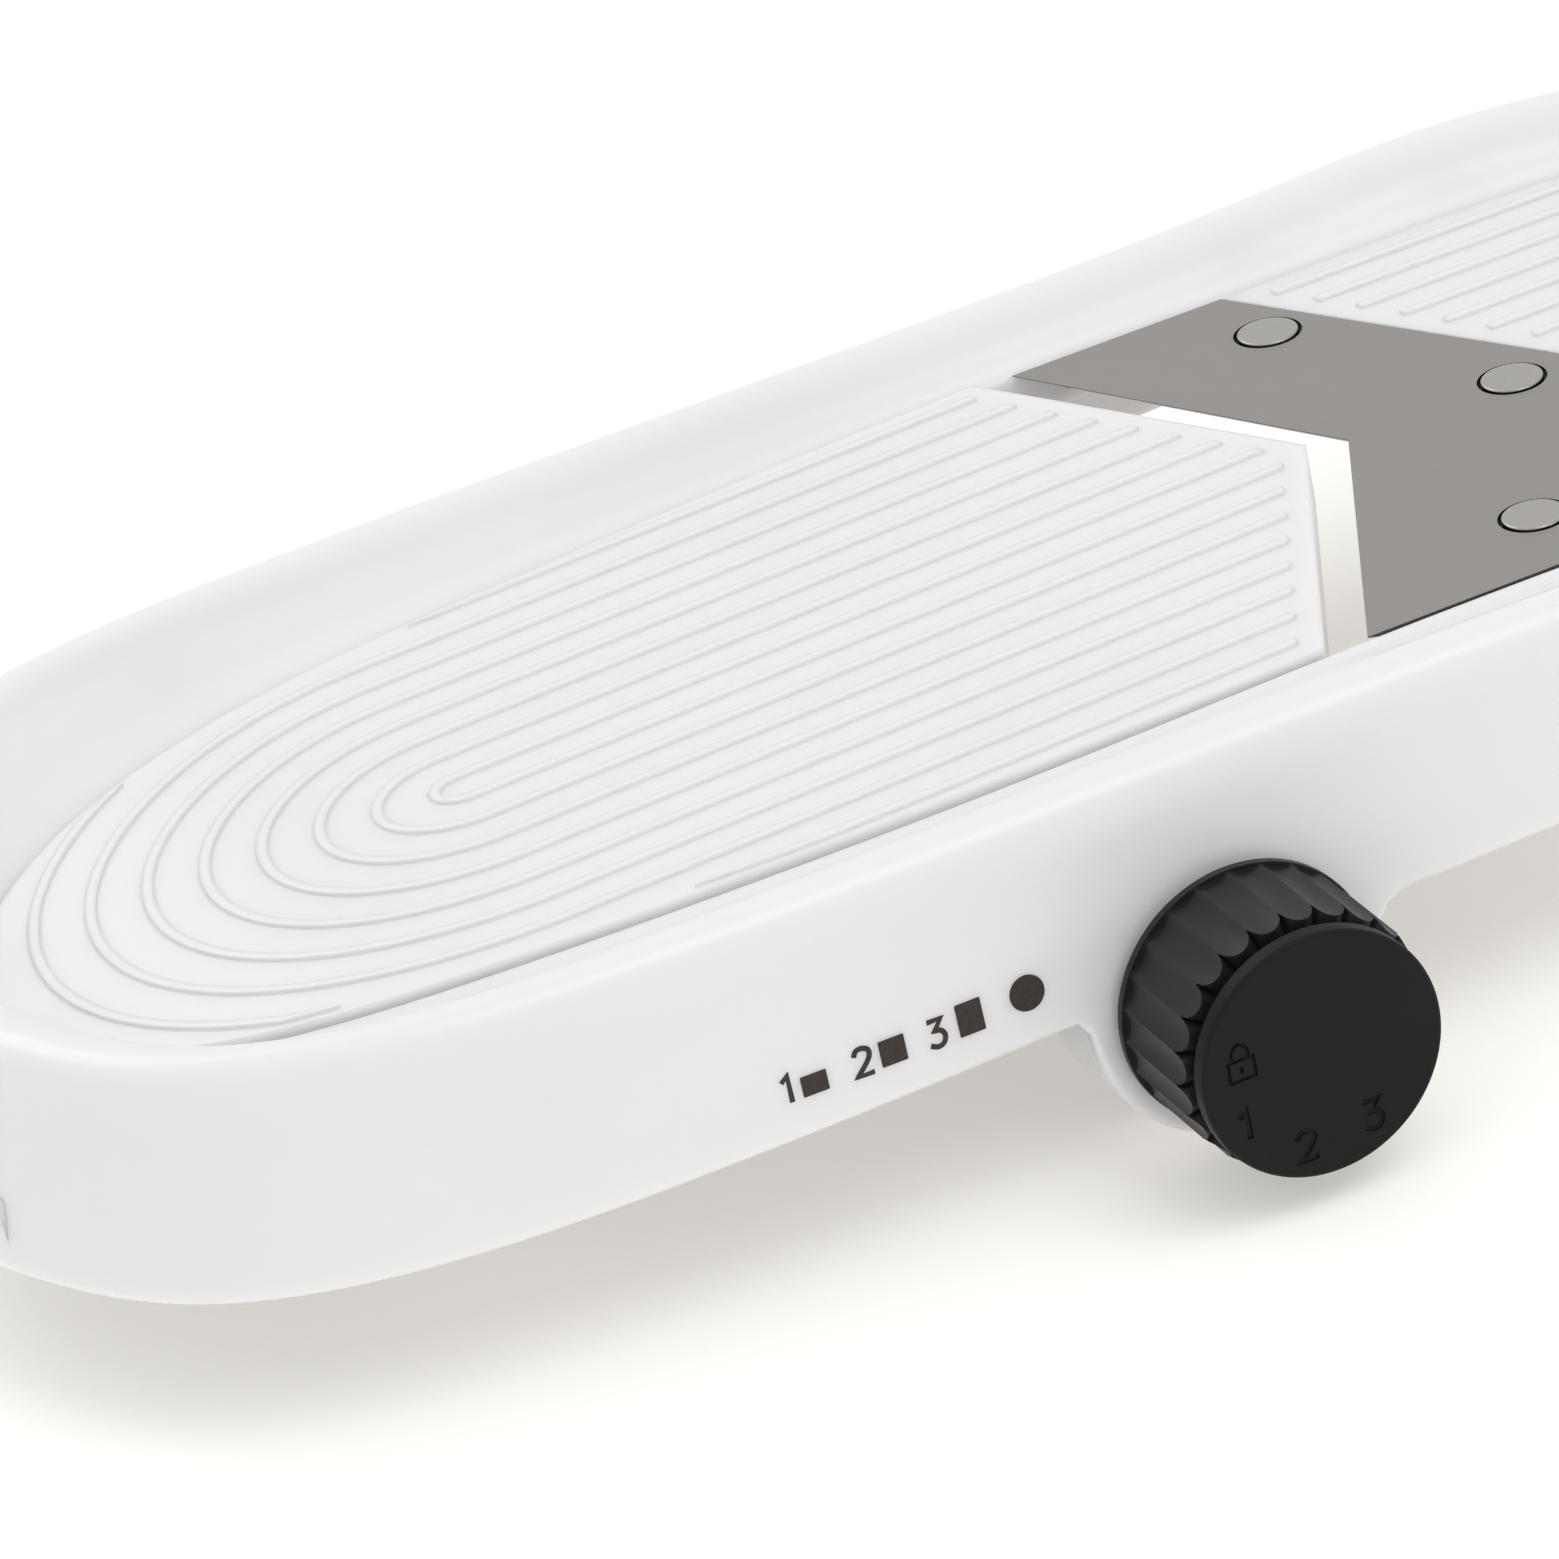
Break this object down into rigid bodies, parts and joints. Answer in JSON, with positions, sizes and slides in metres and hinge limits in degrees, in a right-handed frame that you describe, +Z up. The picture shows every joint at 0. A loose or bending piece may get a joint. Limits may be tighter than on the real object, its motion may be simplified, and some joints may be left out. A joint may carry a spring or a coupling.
{
  "type": "mandoline slicer",
  "caption": "Mandoline slicer: white tray with a V-shaped steel blade, a ridged runway set by a fluted black side knob, a front foot, a folding rear stand and a handle.",
  "frame": {"origin": "centre of the front foot's rest face, on the worktop", "axes": "+X along the body towards the handle, +Y away from the setting knob, +Z up"},
  "size_m": [0.3768, 0.1484, 0.0459],
  "materials": {
    "white_plastic": "smooth, slightly milky moulded plastic",
    "blade_steel": "fine satin brushing across the blade",
    "rivet_steel": "lightly polished",
    "screw_steel": "plain stainless",
    "pin_steel": "bright drawn wire",
    "black_plastic": "fine moulded satin",
    "grey_plastic": "plain moulded",
    "soft_black": "soft touch, fine grain",
    "foot_rubber": "matt non-slip"
  },
  "bodies": {
    "base": {"body_shell": "white_plastic", "landing_deck": "white_plastic", "v_blade": "blade_steel", "blade_rivets": "rivet_steel", "deck_screws": "screw_steel", "runway_hinge_pin": "pin_steel", "runway_springs": "pin_steel", "shaft_bush_near": "grey_plastic", "shaft_bush_far": "grey_plastic", "detent_plunger": "grey_plastic", "detent_spring": "pin_steel", "detent_cup": "grey_plastic", "front_crossbar": "white_plastic", "crossbar_screws": "screw_steel", "front_foot": "white_plastic", "foot_screws": "screw_steel", "front_foot_pad": "foot_rubber", "stand_pins": "pin_steel", "handle_core": "white_plastic", "handle_screws": "screw_steel", "handle_grip": "soft_black", "hang_eyelet": "grey_plastic"},
    "runway_plate": {"runway": "white_plastic"},
    "setting_knob": {"cam_shaft": "black_plastic", "lift_cams": "grey_plastic", "shaft_washer": "screw_steel", "retaining_clip": "screw_steel", "knob": "black_plastic", "knob_cap": "black_plastic", "knob_screw": "screw_steel"},
    "folding_stand": {"rear_stand": "white_plastic", "stand_feet": "foot_rubber"}
  },
  "joints": [
    {"name": "knob_turn", "type": "hinge", "parent": "base", "child": "setting_knob", "pos_m": [0.0774, 0, 0.0184], "axis": [0, 1, 0], "range_deg": [0, 135]},
    {"name": "runway_tilt", "type": "hinge", "parent": "base", "child": "runway_plate", "pos_m": [-0.034, 0, 0.0248], "axis": [0, 1, 0], "range_deg": [0, 1.9]},
    {"name": "stand_fold", "type": "hinge", "parent": "base", "child": "folding_stand", "pos_m": [0.189, 0, 0.033], "axis": [0, 1, 0], "range_deg": [0, 95]}
  ],
  "couplings": [
    {"joint": "runway_tilt", "follows": "knob_turn", "ratio": 0.01407}
  ]
}
